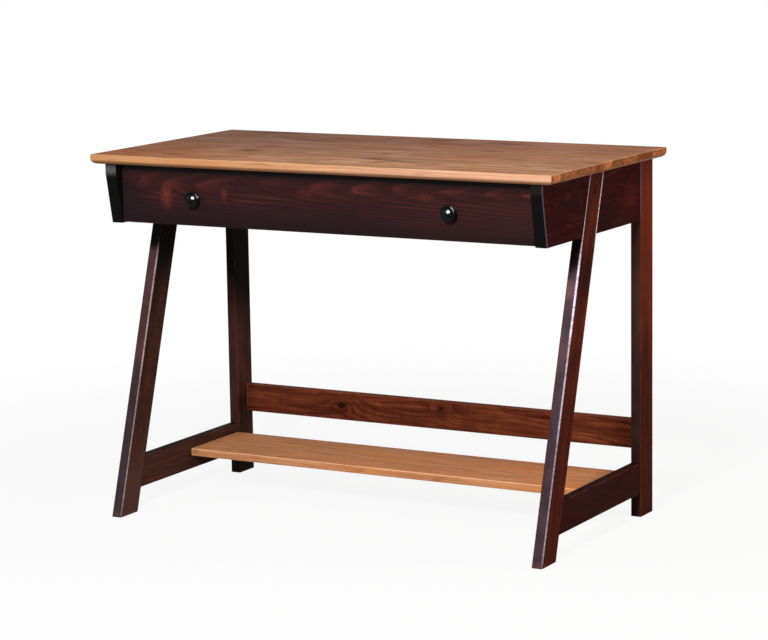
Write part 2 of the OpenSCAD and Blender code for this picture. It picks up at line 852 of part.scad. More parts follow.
// Half section of a knob: foot, hollowed waist, stepped rim and dome
module knob_section() {
    rim_low = knob_h / 2;
    rim_high = rim_low + knob_rim_t;
    dome_r = knob_d / 2 - knob_step;
    dome_h = knob_h - rim_high;
    dome_ball = (dome_r * dome_r + dome_h * dome_h) / (2 * dome_h);
    hollow_r = (rim_low - knob_foot_h) / 2;
    difference() {
        square([knob_waist_d / 2 + hollow_r, rim_low + over]);
        translate([knob_waist_d / 2 + hollow_r, knob_foot_h + hollow_r]) circle(hollow_r);
        translate([knob_foot_d / 2, -over]) square([knob_d, hollow_r + knob_foot_h + over]);
    }
    round_rect(0, rim_low, knob_d / 2, rim_high, knob_rim_t / 3);
    square([knob_core_r, rim_high + over]);
    intersection() {
        translate([0, knob_h - dome_ball]) circle(dome_ball);
        translate([0, rim_high - over]) square([dome_r, knob_h]);
    }
}

module drawer_knob(side) {
    color([0.06, 0.06, 0.06])
    difference() {
        on_side(side) translate([knob_x, drawer_y, knob_z]) rotate([90, 0, 0])
            rotate_extrude() intersection() {
                knob_section();
                square([knob_d, knob_h]);
            }
        knob_screw_set(fit);
    }
}

desktop();
front_leg("left");  // front_leg_left
front_leg("right");  // front_leg_right
rear_leg("left");  // rear_leg_left
rear_leg("right");  // rear_leg_right
side_panel("left");  // side_panel_left
side_panel("right");  // side_panel_right
side_stretcher("left");  // side_stretcher_left
side_stretcher("right");  // side_stretcher_right
back_stretcher();
footrest_shelf();
case_back();
front_rail();
leg_screws();
side_stretcher_dowels();
back_stretcher_dowels();
shelf_dowels();
case_back_dowels();
front_rail_dowels();
front_rail_screws();
top_clips();
top_clip_screws();
slide_outer("left");  // slide_outer_left
slide_outer("right");  // slide_outer_right
slide_middle("left");  // slide_middle_left
slide_middle("right");  // slide_middle_right
slide_inner("left");  // slide_inner_left
slide_inner("right");  // slide_inner_right
ball_cage_outer("left");  // ball_cage_outer_left
ball_cage_outer("right");  // ball_cage_outer_right
ball_cage_inner("left");  // ball_cage_inner_left
ball_cage_inner("right");  // ball_cage_inner_right
balls_outer("left");  // balls_outer_left
balls_outer("right");  // balls_outer_right
balls_inner("left");  // balls_inner_left
balls_inner("right");  // balls_inner_right
slide_case_screws();
slide_drawer_screws();
drawer_front();
drawer_box_front();
drawer_box_back();
drawer_side("left");  // drawer_side_left
drawer_side("right");  // drawer_side_right
drawer_bottom();
drawer_knob("left");  // drawer_knob_left
drawer_knob("right");  // drawer_knob_right
knob_screws();
drawer_front_screws();
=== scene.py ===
import math
from collections import namedtuple

import bmesh
import bpy
from mathutils import Matrix, Vector


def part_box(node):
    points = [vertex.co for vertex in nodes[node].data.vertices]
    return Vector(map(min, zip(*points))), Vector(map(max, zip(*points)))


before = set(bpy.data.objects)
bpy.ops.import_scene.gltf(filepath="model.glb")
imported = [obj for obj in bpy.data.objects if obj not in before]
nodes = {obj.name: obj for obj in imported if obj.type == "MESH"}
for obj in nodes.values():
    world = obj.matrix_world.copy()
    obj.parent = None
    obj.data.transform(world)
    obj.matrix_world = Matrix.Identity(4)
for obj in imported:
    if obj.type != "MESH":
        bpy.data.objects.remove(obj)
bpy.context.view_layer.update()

# Laptop desk: finishes for the modelled pieces, a pale studio and the camera. Metres.

SIDES = ("left", "right")
WHITE = (1.0, 1.0, 1.0)

# Lean of the front legs from the vertical
LEAN = math.radians(17.2)

# The camera: where it stands, how it is turned in degrees, and its lens and sensor
CAMERA_PLACE = Vector((2.7920, -4.9795, 1.3794))
CAMERA_AZIMUTH = 29.196
CAMERA_PITCH = 9.57
CAMERA_ROLL = -0.911
CAMERA_LENS_MM = 128.95
SENSOR_MM = 36.0

# Staves of the desktop, from front to back: where each starts, how bright its face is beside the
# others, how bright its end grain is, and how far along the tree it was cut
top_low, top_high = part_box("desktop")
Stave = namedtuple("Stave", "start face end cut")
STAVES = (
    Stave(top_low.y, 1.00, 1.70, 0.000),
    Stave(-0.237, 1.04, 1.00, -0.863),
    Stave(-0.151, 0.95, 0.88, -0.490),
    Stave(-0.035, 1.00, 1.45, 0.585),
    Stave(0.004, 0.96, 0.72, 0.822),
    Stave(0.064, 1.03, 0.95, -0.119),
    Stave(0.128, 0.93, 0.55, 0.290),
    Stave(0.205, 1.00, 1.05, 1.200),
)


def srgb(red, green, blue):
    """Linear colour, with alpha, of a display colour whose channels run from 0 to 255."""
    def linear(channel):
        share = channel / 255
        return share / 12.92 if share <= 0.04045 else ((share + 0.055) / 1.055) ** 2.4
    return (linear(red), linear(green), linear(blue), 1.0)


class Graph:
    """Adds nodes to a node tree. Most calls add one and return its output socket."""

    def __init__(self, tree):
        self.tree = tree

    def node(self, kind, **settings):
        made = self.tree.nodes.new(kind)
        for key, value in settings.items():
            setattr(made, key, value)
        return made

    def feed(self, socket, value):
        if isinstance(value, bpy.types.NodeSocket):
            self.tree.links.new(value, socket)
        elif value is not None:
            socket.default_value = value

    def math(self, operation, a, b=None, c=None, clamp=False):
        made = self.node("ShaderNodeMath", operation=operation, use_clamp=clamp)
        for socket, value in zip(made.inputs, (a, b, c)):
            self.feed(socket, value)
        return made.outputs[0]

    def times(self, first, *others):
        """The product of its values."""
        for other in others:
            first = self.math("MULTIPLY", first, other)
        return first

    def apart(self, a, b):
        """The distance between two values."""
        return self.math("ABSOLUTE", self.math("SUBTRACT", a, b))

    def vector(self, operation, a, b, c=None):
        made = self.node("ShaderNodeVectorMath", operation=operation)
        for socket, value in zip(made.inputs, (a, b, c)):
            self.feed(socket, value)
        return made.outputs["Vector"]

    def length(self, vector):
        made = self.node("ShaderNodeVectorMath", operation="LENGTH")
        self.feed(made.inputs[0], vector)
        return made.outputs["Value"]

    def split(self, vector):
        made = self.node("ShaderNodeSeparateXYZ")
        self.feed(made.inputs[0], vector)
        return made.outputs[0], made.outputs[1], made.outputs[2]

    def join(self, x, y, z):
        made = self.node("ShaderNodeCombineXYZ")
        for socket, value in zip(made.inputs, (x, y, z)):
            self.feed(socket, value)
        return made.outputs[0]

    def grey(self, level):
        return self.join(level, level, level)

    def noise(self, vector, size, detail=2.0, rough=0.5, shift=0.0, output="Fac"):
        """Noise whose spots are about size = (x, y, z) metres; shift gives another piece of it."""
        scale = tuple(1 / side for side in size)
        scaled = self.vector("MULTIPLY_ADD", vector, scale, (shift, shift * 0.7, -shift))
        made = self.node("ShaderNodeTexNoise")
        self.feed(made.inputs["Vector"], scaled)
        made.inputs["Scale"].default_value = 1.0
        made.inputs["Detail"].default_value = detail
        made.inputs["Roughness"].default_value = rough
        return made.outputs[output]

    def span(self, value, low, high, to_low=0.0, to_high=1.0, smooth=True):
        """value, taken from low..high to to_low..to_high and held at the ends."""
        made = self.node("ShaderNodeMapRange", clamp=True)
        made.interpolation_type = "SMOOTHSTEP" if smooth else "LINEAR"
        for key, number in zip(("Value", "From Min", "From Max", "To Min", "To Max"),
                               (value, low, high, to_low, to_high)):
            self.feed(made.inputs[key], number)
        return made.outputs["Result"]

    def fall(self, value, low, high, strength=1.0):
        """strength up to low, falling softly to 0 at high."""
        return self.span(value, low, high, strength, 0.0)

    def between(self, share, a, b):
        """a where share is 0 and b where it is 1."""
        return self.span(share, 0.0, 1.0, a, b, smooth=False)

    def ramp(self, value, stops):
        made = self.node("ShaderNodeValToRGB")
        self.feed(made.inputs["Fac"], value)
        elements = made.color_ramp.elements
        while len(elements) < len(stops):
            elements.new(0.5)
        for element, (place, colour) in zip(elements, stops):
            element.position = place
            element.color = colour
        return made.outputs["Color"]

    def mix(self, share, a, b, blend="MIX"):
        made = self.node("ShaderNodeMix", data_type="RGBA", blend_type=blend)
        made.clamp_factor = True
        self.feed(made.inputs[0], share)
        self.feed(made.inputs[6], a)
        self.feed(made.inputs[7], b)
        return made.outputs[2]

    def tinted(self, colour, tone, share=1.0):
        """colour multiplied by tone, as far as share says."""
        return self.mix(share, colour, tone, "MULTIPLY")


class Finish(Graph):
    """The nodes of one material, with the board that it is for, if any."""

    def __init__(self, name, board=None):
        self.material = bpy.data.materials.new(name)
        self.material.use_nodes = True
        super().__init__(self.material.node_tree)
        self.board = board
        self.tree.nodes.clear()
        self.shader = self.node("ShaderNodeBsdfPrincipled")
        end = self.node("ShaderNodeOutputMaterial")
        self.tree.links.new(self.shader.outputs["BSDF"], end.inputs["Surface"])
        self.place = self.node("ShaderNodeTexCoord").outputs["Object"]

    def bump(self, height, strength, distance):
        made = self.node("ShaderNodeBump")
        made.inputs["Strength"].default_value = strength
        made.inputs["Distance"].default_value = distance
        self.feed(made.inputs["Height"], height)
        self.feed(self.shader.inputs["Normal"], made.outputs["Normal"])

    def gloss(self, roughness, **constants):
        """Roughness may be a socket; the rest are plain numbers and colours on the shader itself."""
        self.feed(self.shader.inputs["Roughness"], roughness)
        for key, value in constants.items():
            self.shader.inputs[key.replace("_", " ")].default_value = value

    def board_space(self):
        """Coordinates from the board's middle: x along its grain, y across its width, z through it."""
        made = self.node("ShaderNodeMapping", vector_type="TEXTURE")
        self.feed(made.inputs["Vector"], self.place)
        made.inputs["Location"].default_value = self.board["middle"]
        made.inputs["Rotation"].default_value = self.board["axes"].to_euler("XYZ")
        return made.outputs["Vector"]

    def in_staves(self, local):
        """The same coordinates from the middle of each stave of the glued-up desktop, each stave
        cut from another length of the tree."""
        x, y, z = self.split(local)
        edges = [stave.start for stave in STAVES] + [top_high.y]
        middles = [(near + far) / 2 for near, far in zip(edges, edges[1:])]
        cuts = [stave.cut for stave in STAVES]
        middle = middles[0]
        cut = cuts[0]
        for index in range(1, len(STAVES)):
            past = self.math("GREATER_THAN", y, edges[index])
            middle = self.math("MULTIPLY_ADD", past, middles[index] - middles[index - 1], middle)
            cut = self.math("MULTIPLY_ADD", past, cuts[index] - cuts[index - 1], cut)
        return self.join(self.math("ADD", x, cut), self.math("SUBTRACT", y, middle), z)

    def looking(self, direction):
        """1 where the surface looks along direction, 0 where it is square to it, -1 against it."""
        turned = self.node("ShaderNodeVectorTransform", vector_type="NORMAL",
                           convert_from="WORLD", convert_to="OBJECT")
        self.feed(turned.inputs[0], self.node("ShaderNodeNewGeometry").outputs["Normal"])
        made = self.node("ShaderNodeVectorMath", operation="DOT_PRODUCT")
        self.feed(made.inputs[0], turned.outputs[0])
        made.inputs[1].default_value = direction
        return made.outputs["Value"]

    def facing(self, direction):
        """1 where the surface faces along or against direction, 0 where it is square to it."""
        return self.math("ABSOLUTE", self.looking(direction))

    def spot(self, centre, half):
        """1 at centre, falling softly to 0 on an ellipsoid whose half axes are half."""
        off = self.vector("DIVIDE", self.vector("SUBTRACT", self.place, centre), half)
        return self.fall(self.length(off), 0.1, 1.0)


def axis(letter):
    return Vector([1.0 if letter == other else 0.0 for other in "XYZ"])


# What a board has unless it says otherwise: the pith's place from its middle, the pith's drift
# along it, the distance between rings, and no knots, painted highlight lines, shades up its height
# or spots of painted shade and of stain
PLAIN_BOARD = {
    "pith": (0.02, -0.075), "drift": (0.02, 0.025), "ring": 0.0045,
    "knots_at": (), "glints": (), "shades": (), "stains": (),
}


def board(node, grain, seed, **more):
    """Where a board lies and how its rings run. grain names its length, width and thickness axes."""
    low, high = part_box(node)
    along = axis(grain[0])
    across = axis(grain[1])
    axes = Matrix((along, across, along.cross(across))).transposed()
    half = axes.transposed() @ ((high - low) / 2)
    made = dict(PLAIN_BOARD, low=low, high=high, middle=(low + high) / 2, axes=axes, seed=seed)
    made["half"] = Vector([abs(c) for c in half])
    made.update(more)
    set_knots(made)
    return made


def set_knots(made):
    """Turns each knot's place on the desk, with its radius, into the board's own coordinates."""
    turned = made["axes"].transposed()
    made["knots"] = []
    for place, radius in made["knots_at"]:
        spot = turned @ (Vector(place) - made["middle"])
        made["knots"].append((spot.x, spot.y, radius))


def leaning_board(node, seed, **more):
    """The same for a leaning front leg, whose grain follows its length."""
    made = board(node, "ZYX", seed, **more)
    low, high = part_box(node)
    along = Vector((0, math.sin(LEAN), math.cos(LEAN)))
    across = Vector((0, math.cos(LEAN), -math.sin(LEAN)))
    rise = high.z - low.z
    made["axes"] = Matrix((along, across, along.cross(across))).transposed()
    made["half"] = Vector((
        rise / 2 / math.cos(LEAN),
        (high.y - low.y - rise * math.tan(LEAN)) * math.cos(LEAN) / 2,
        (high.x - low.x) / 2,
    ))
    set_knots(made)
    return made


# What all boards have in common. A size is along the grain, across it and through it, the limits
# of the late wood are shares of a ring, and END_LOOKS says how far a surface has to look along the
# grain to be end grain.
LATE_RISE = (0.35, 0.86)
LATE_FALL = (0.90, 0.99)
PORE_SIZE = (0.006, 0.00035, 0.00035)
PORE_LIMITS = (0.62, 0.74)
CURL_SIZE = (0.012, 0.05, 0.05)
RING_PATCH_SIZE = (0.25, 0.03, 0.03)
END_DOT_SIZE = (0.5, 0.0009, 0.0009)
END_LOOKS = (0.75, 0.97)
PATCH_SOFTNESS = 0.25
LENS_SOFTNESS = 0.12
RUB_SIZE = (0.03, 0.03, 0.03)
RUB_DEPTH = 0.004
# The size of the breaks in the painted highlight lines along the arrises
BEAD_SIZE = (0.004, 0.02, 0.02)
SMUDGE_SIZE = (0.09, 0.05, 0.05)
# How far a painted highlight line takes to fade in and out at its ends
GLINT_END = 0.05
RELIEF_DEPTH = 0.0004
FIBRE_HEIGHT = 0.5
PORE_HEIGHT = -0.7
LATE_HEIGHT = 0.25
FIBRE_ROUGHNESS = 0.08
WORN_ROUGHNESS = 0.10
LACQUER_SPECULAR = 0.003

# How far apart in the noise two boards lie whose seeds differ by 1
SEED_STEP = (3.1, 1.7, 2.3)

# A knot's eye: its shape in the grain, and how far and how high it swells the rings, in radii
KNOT_SHAPE = (0.55, 1.0, 0.0)
KNOT_REACH = 1.7
KNOT_SWELL = 1.6


def growth_rings(g, look, grown, seeded):
    """The late wood of each ring, with eyes where the knots are, and then the knots themselves."""
    at = g.board
    x, y, z = g.split(grown)
    wander = g.noise(seeded, look["wander_size"], detail=2, output="Color")
    _, wander_y, wander_z = g.split(g.vector("SUBTRACT", wander, (0.5, 0.5, 0.5)))
    pith_y = g.math("MULTIPLY_ADD", x, at["drift"][0], at["pith"][0])
    pith_z = g.math("MULTIPLY_ADD", x, at["drift"][1], at["pith"][1])
    from_y = g.math("MULTIPLY_ADD", wander_y, look["wander"], g.math("SUBTRACT", y, pith_y))
    from_z = g.math("MULTIPLY_ADD", wander_z, look["wander"], g.math("SUBTRACT", z, pith_z))
    radius = g.math("SQRT", g.math("ADD", g.times(from_y, from_y), g.times(from_z, from_z)))
    knots = 0.0
    for knot_x, knot_y, knot_r in at["knots"]:
        off = g.vector("MULTIPLY", g.vector("SUBTRACT", grown, (knot_x, knot_y, 0)), KNOT_SHAPE)
        away = g.length(off)
        swell = g.math("EXPONENT", g.math("DIVIDE", away, -KNOT_REACH * knot_r))
        radius = g.math("MULTIPLY_ADD", swell, knot_r * KNOT_SWELL, radius)
        knots = g.math("MAXIMUM", knots, g.fall(away, knot_r * 0.35, knot_r * 0.85))
    rings = g.math("FRACT", g.math("DIVIDE", radius, at["ring"]))
    late = g.times(g.span(rings, *LATE_RISE), g.fall(rings, *LATE_FALL))
    ring_patches = g.noise(seeded, RING_PATCH_SIZE, detail=1, shift=3.7)
    return g.times(late, g.span(ring_patches, 0.35, 0.65, 0.35, 1.0)), knots


def stained(g, look, colour, seeded):
    """Stain that took unevenly, in large soft patches and in small lenses."""
    patches = g.noise(seeded, look["patch_size"], detail=2, shift=2.2)
    patch_full = look["patch_from"] + PATCH_SOFTNESS
    patch = g.span(patches, look["patch_from"], patch_full, 0.0, look["patches"])
    colour = g.mix(patch, colour, look["patch_colour"])
    lens = g.noise(seeded, look["lens_size"], detail=1, shift=4.4)
    lens_full = look["lens_from"] + LENS_SOFTNESS
    spots = g.span(lens, look["lens_from"], lens_full, 0.0, look["lenses"])
    return g.mix(spots, colour, look["lens_colour"])


def worn_arrises(g, look, local, seeded):
    """Where the arrises are rubbed, from the second smallest distance to the board's faces."""
    away = [g.math("SUBTRACT", half, g.math("ABSOLUTE", c))
            for half, c in zip(g.board["half"], g.split(local))]
    least = g.math("MINIMUM", away[0], away[1])
    most = g.math("MAXIMUM", away[0], away[1])
    arris = g.math("MAXIMUM", least, g.math("MINIMUM", most, away[2]))
    rub = g.noise(seeded, RUB_SIZE, detail=3, shift=8.8)
    arris = g.math("MULTIPLY_ADD", g.math("SUBTRACT", rub, 0.5), -RUB_DEPTH, arris)
    return g.fall(arris, look["wear_width"] * 0.4, look["wear_width"], look["wear"])


def glinting(g, colour, local, seeded):
    """Painted highlights: pale lines along rounded arrises where a lamp would shine on the lacquer.
    Each row of the board's highlight lines has its side across and through the board, where it
    starts and ends along it, its width and strength."""
    half = g.board["half"]
    x, y, z = g.split(local)
    beads = g.span(g.noise(seeded, BEAD_SIZE, detail=2, shift=12.6), 0.30, 0.62, 0.55, 1.0)
    for side_y, side_z, start, end, width, strength in g.board["glints"]:
        off = g.math("MAXIMUM", g.apart(y, side_y * half.y), g.apart(z, side_z * half.z))
        line = g.fall(off, width * 0.45, width, strength)
        reach = g.times(g.span(x, start, start + GLINT_END), g.fall(x, end - GLINT_END, end))
        colour = g.mix(g.times(line, beads, reach), colour, g.board["glint_colour"])
    return colour


def wood(name, at, look):
    """A board's finish: solid growth rings, fibres, pores, stain, worn arrises and end grain."""
    g = Finish(name, at)
    local = g.board_space()
    grown = g.in_staves(local) if look["staves"] else local
    seeded = g.vector("ADD", grown, tuple(at["seed"] * step for step in SEED_STEP))
    late, knots = growth_rings(g, look, grown, seeded)

    # Streaks and fibres along the grain, and short pores
    streaks = g.noise(seeded, look["streak_size"], detail=3, shift=7.1)
    fibres = g.noise(seeded, look["fibre_size"], detail=3, rough=0.6, shift=1.3)
    pores = g.span(g.noise(seeded, PORE_SIZE, detail=1, shift=9.4), *PORE_LIMITS)
    curl = g.noise(seeded, CURL_SIZE, detail=1, shift=5.5)

    # Tone: 0 is the darkest wood and 1 the palest
    tone = look["tone"]
    for figure, strength in ((streaks, look["streaks"]), (fibres, look["fibres"]), (curl, look["curl"])):
        tone = g.math("MULTIPLY_ADD", g.math("SUBTRACT", figure, 0.5), strength, tone)
    tone = g.math("MULTIPLY_ADD", late, -look["rings"], tone, clamp=True)
    colour = stained(g, look, g.ramp(tone, look["stops"]), seeded)
    if at["knots"]:
        colour = g.mix(g.times(knots, look["knots"]), colour, look["knot_colour"])
    colour = g.mix(g.times(pores, look["pores"]), colour, look["pore_colour"])

    # End grain takes more stain
    end = g.span(g.facing(at["axes"].col[0]), *END_LOOKS)
    dots = g.span(g.noise(seeded, END_DOT_SIZE, detail=2, shift=6.6), 0.35, 0.65, 0.75, 1.15)
    colour = g.mix(g.times(end, look["end"]), colour, g.tinted(look["end_colour"], g.grey(dots)))
    for mark in look["marks"]:
        colour = mark(g, colour)
    worn = worn_arrises(g, look, local, seeded)
    colour = g.mix(worn, colour, look["wear_colour"])
    # Painted highlights along the rounded arrises go over the board's colour
    g.feed(g.shader.inputs["Base Color"], glinting(g, colour, local, seeded))

    # Satin lacquer: duller on the fibres, on end grain and where it was rubbed
    smudge = g.noise(seeded, SMUDGE_SIZE, detail=4, shift=11.0)
    rough = g.span(smudge, 0.3, 0.7, look["rough"][0], look["rough"][1])
    rough = g.math("MULTIPLY_ADD", fibres, FIBRE_ROUGHNESS, rough)
    rough = g.math("MULTIPLY_ADD", g.math("MAXIMUM", worn, end), WORN_ROUGHNESS, rough, clamp=True)
    g.gloss(rough, Specular_IOR_Level=LACQUER_SPECULAR)
    height = g.math("MULTIPLY_ADD", fibres, FIBRE_HEIGHT, g.times(pores, PORE_HEIGHT))
    height = g.math("MULTIPLY_ADD", late, LATE_HEIGHT, height)
    g.bump(height, look["relief"], RELIEF_DEPTH)
    return g.material


def soft_spots(g, colour, spots, ragged, tint):
    """Soft spots of tint, each a centre, its half axes and its strength, with ragged outlines."""
    for centre, half, strength in spots:
        colour = g.mix(g.times(g.spot(centre, half), strength, ragged), colour, tint)
    return colour


# The desktop: the painted shade of its upper face beside its edges, its tones at the back and at
# the left front corner, the painted light along the front edge and the painted shade of its rolled
# underside
TOP_TONE = (0.88, 0.86, 0.87, 1.0)
REAR_LEFT_TONE = (0.54, 0.49, 0.53, 1.0)
REAR_RIGHT_TONE = (0.82, 0.69, 0.67, 1.0)
CORNER_TONE = (0.74, 0.52, 0.30, 1.0)
EDGE_LEFT_TONE = (0.71, 0.68, 0.59, 1.0)
EDGE_RIGHT_TONE = (0.90, 0.99, 1.23, 1.0)
UNDER_TONE = (0.40, 0.38, 0.38, 1.0)

# Where these tones change, in x and y, how far up the rolled underside its painted shade reaches,
# and the half width of a glue line; then the sizes of the mottle in the end grain and of the rags of the
# streaks
REAR_BACKWARD = (-0.20, 0.17)
REAR_ACROSS = (-0.42, 0.42)
CORNER_ACROSS = (-0.46, -0.06)
CORNER_BACKWARD = (-0.22, 0.12)
EDGE_ACROSS = (-0.30, 0.55)
UNDER_LOW = 0.0040
UNDER_HIGH = 0.0095
GLUE_LINE = (0.0003, 0.0007)
MOTTLE_SIZE = (0.5, 0.014, 0.007)
STREAK_RAG_SIZE = (0.05, 0.0030, 0.02)

# Dark streaks on the upper face: their half size in z, and then each one's place in x and y, half
# sizes there and strength
STREAK_DEPTH = 0.03
TOP_STREAKS = (
    (-0.246, -0.092, 0.050, 0.016, 0.75),
    (-0.105, -0.020, 0.060, 0.013, 0.55),
    (0.062, -0.140, 0.056, 0.014, 1.10),
    (0.110, -0.153, 0.056, 0.013, 1.10),
    (0.160, -0.168, 0.050, 0.011, 0.95),
    (-0.230, 0.131, 0.080, 0.022, 0.50),
    (-0.400, 0.249, 0.090, 0.026, 0.55),
    (0.032, 0.228, 0.075, 0.026, 0.75),
    (0.182, 0.218, 0.085, 0.024, 0.75),
    (0.234, 0.068, 0.060, 0.015, 0.70),
    (0.340, -0.050, 0.050, 0.012, 0.45),
)

# Stains at the right end: place, half sizes and strength
END_STAINS = (
    ((0.524, -0.058, 0.765), (0.030, 0.020, 0.02), 0.70),
    ((0.533, -0.271, 0.767), (0.006, 0.012, 0.02), 0.60),
    ((0.533, -0.157, 0.769), (0.012, 0.010, 0.01), 0.60),
)


def stave_tones(g, colour):
    """Each stave of the desktop has a tone of its own, with a hairline between two staves."""
    y = g.split(g.place)[1]
    end = g.span(g.facing((1, 0, 0)), *END_LOOKS)
    face_tone = STAVES[0].face
    end_tone = STAVES[0].end
    line = 1.0
    for stave in STAVES[1:]:
        past = g.math("GREATER_THAN", y, stave.start)
        face_tone = g.between(past, face_tone, stave.face)
        end_tone = g.between(past, end_tone, stave.end)
        line = g.math("MINIMUM", line, g.apart(y, stave.start))
    mottle = g.span(g.noise(g.place, MOTTLE_SIZE, detail=3, shift=5.0), 0.35, 0.65, 0.74, 1.20)
    level = g.between(end, face_tone, g.times(end_tone, mottle))
    return g.mix(g.fall(line, *GLUE_LINE, 0.35), g.tinted(colour, g.grey(level)), srgb(96, 56, 32))


def top_toning(g, colour):
    """The upper face is darker than the edges as painted shade, darker still towards the back, more
    orange at the left front corner, and has a few dark streaks.
    """
    x, y, z = g.split(g.place)
    up = g.span(g.facing((0, 0, 1)), 0.90, 0.995)
    # Painted shade on the upper face
    colour = g.tinted(colour, TOP_TONE, up)
    rear = g.times(up, g.span(y, *REAR_BACKWARD, smooth=False))
    colour = g.tinted(colour, g.mix(g.span(x, *REAR_ACROSS), REAR_LEFT_TONE, REAR_RIGHT_TONE), rear)
    corner = g.times(g.fall(x, *CORNER_ACROSS), g.fall(y, *CORNER_BACKWARD))
    colour = g.tinted(colour, CORNER_TONE, g.times(corner, up))
    ragged = g.span(g.noise(g.place, STREAK_RAG_SIZE, detail=2), 0.35, 0.55, 0.50, 1.15)
    streaks = tuple(((across, back, top_high.z), (half_x, half_y, STREAK_DEPTH), strength)
                    for across, back, half_x, half_y, strength in TOP_STREAKS)
    colour = soft_spots(g, colour, streaks + END_STAINS, ragged, srgb(74, 42, 32))

    # The front and the rear edge are paler, and as painted light darker to the left and pinker to the
    # right. Every edge has painted shade on its rolled underside.
    front = g.span(g.facing((0, 1, 0)), 0.55, 0.95)
    colour = g.mix(g.times(front, 0.55), colour, srgb(204, 150, 112))
    # Painted light along the edges, darker to the left and pinker to the right
    colour = g.tinted(colour, g.mix(g.span(x, *EDGE_ACROSS), EDGE_LEFT_TONE, EDGE_RIGHT_TONE), front)
    # Painted shade on the rolled underside
    under = g.fall(z, top_low.z + UNDER_LOW, top_low.z + UNDER_HIGH)
    return g.tinted(colour, UNDER_TONE, under)


# The drawer front: where its left half gives way to its right half, and where its left end does
HALVES_MEET = (0.08, 0.24)
LEFT_END = (-0.45, -0.39)

# Its bands above its lower edge: the painted grey sheen and shade of the lower half, and the dark foot
LOWER_BAND = (0.024, 0.085)
FOOT_BAND = (0.005, 0.031)

# Its bands up to its upper edge: the greyer part of its left end, and the painted shadow of the
# desktop in the head and on the lip
LEFT_END_BAND = (-0.0455, -0.0205)
HEAD_BAND = (-0.0225, -0.0095)
LIP_BAND = (-0.0135, -0.0055)

# The red blotches on it: the size of their rags, their half size in y, and then each one's place
# in x and z, half sizes there and strength
BLOTCH_RAG_SIZE = (0.005, 0.02, 0.020)
BLOTCH_DEPTH = 0.03
DRAWER_BLOTCHES = (
    (-0.370, 0.692, 0.020, 0.040, 0.70),
    (-0.229, 0.698, 0.010, 0.020, 0.50),
    (-0.035, 0.712, 0.030, 0.016, 0.25),
    (0.240, 0.716, 0.030, 0.010, 0.30),
)


def drawer_toning(g, colour):
    """The drawer front is redder above and to the right, with painted grey sheen and shade below and
    the painted shadow of the desktop under the top.
    """
    x, _, z = g.split(g.place)
    face = g.board["low"].y
    up = g.math("SUBTRACT", z, g.board["low"].z)
    down = g.math("SUBTRACT", z, g.board["high"].z)
    right = g.span(x, *HALVES_MEET)
    # Painted grey sheen and shade on the lower half
    lower = g.fall(up, *LOWER_BAND, g.span(x, *HALVES_MEET, 0.78, 0.74))
    colour = g.mix(lower, colour, g.mix(right, srgb(31, 21, 24), srgb(38, 23, 24)))
    colour = g.mix(g.fall(up, *FOOT_BAND, 0.60), colour, srgb(25, 18, 19))
    left = g.times(g.fall(x, *LEFT_END), g.fall(down, *LEFT_END_BAND, 0.65))
    colour = g.mix(left, colour, srgb(27, 21, 24))
    ragged = g.span(g.noise(g.place, BLOTCH_RAG_SIZE, detail=3), 0.35, 0.60, 0.45, 1.10)
    blotches = tuple(((across, face, height), (half_x, BLOTCH_DEPTH, half_z), strength)
                     for across, height, half_x, half_z, strength in DRAWER_BLOTCHES)
    colour = soft_spots(g, colour, blotches, ragged, srgb(98, 42, 34))
    # The painted shadow of the desktop, darkest in the head and grey on the lip
    colour = g.mix(g.span(down, *HEAD_BAND, 0.0, 0.65), colour, srgb(28, 20, 20))
    return g.mix(g.span(down, *LIP_BAND, 0.0, 0.85), colour, srgb(36, 33, 32))


def shading(g, colour):
    """Painted shade and plain tints that change up a board's height, except on the faces that look left
    or back, and then soft spots, painted shade on the legs and stain on the right panel, as the board
    itself says."""
    z = g.split(g.place)[2]
    turned = g.math("MAXIMUM", g.looking((-1, 0, 0)), g.looking((0, 1, 0)))
    shown = g.fall(turned, 0.4, 0.8)
    for low, high, at_low, at_high, tint in g.board["shades"]:
        # Bands up the height: painted shade, most of it the shadow of the case, and plain tints
        colour = g.mix(g.times(shown, g.span(z, low, high, at_low, at_high)), colour, tint)
    for centre, half, strength, tint in g.board["stains"]:
        # Spots: painted shade on the legs, stain on the right panel
        colour = g.mix(g.times(g.spot(centre, half), strength), colour, tint)
    return colour


def dark_crown(g, colour):
    """The top face of the left stretcher is nearly black."""
    return g.mix(g.span(g.looking((0, 0, 1)), 0.5, 0.9, 0.0, 0.85), colour, srgb(14, 9, 10))


# Which way the front faces of the leaning and of the upright legs look, the size of the clouds in
# their painted sheen, the heights between which its tint changes, and how far it takes to turn to
# painted shadow
LEANING = (0.0, -math.cos(LEAN), math.sin(LEAN))
UPRIGHT = (0.0, -1.0, 0.0)
CLOUD_SIZE = (0.03, 0.03, 0.05)
BLOOM_CHANGE = (0.20, 0.42)
BLOOM_FADE = 0.026


def blooming(g, colour):
    """Painted sheen: a grey reflection painted on the front and rear faces of the legs, turning to
    painted shadow of the case above a height that each leg says. Each blotch in it has its height,
    reach, strength and tint."""
    bloom = g.board["bloom"]
    z = g.split(g.place)[2]
    front = g.span(g.facing(bloom["facing"]), 0.90, 0.99)
    cloud = g.span(g.noise(g.place, CLOUD_SIZE, detail=3), 0.30, 0.70, 0.80, 1.22)
    tint = g.mix(g.span(z, *BLOOM_CHANGE), bloom["low_tint"], bloom["high_tint"])
    tint = g.tinted(tint, g.grey(cloud))
    for height, reach, strength, blotch in bloom["blotches"]:
        tint = g.mix(g.fall(g.apart(z, height), reach * 0.3, reach, strength), tint, blotch)
    dark = g.span(z, bloom["dark_from"], bloom["dark_from"] + BLOOM_FADE)
    # The painted sheen, black with the painted shadow of the case above that height
    return g.mix(g.times(front, bloom["share"]), colour, g.mix(dark, tint, srgb(16, 16, 16)))


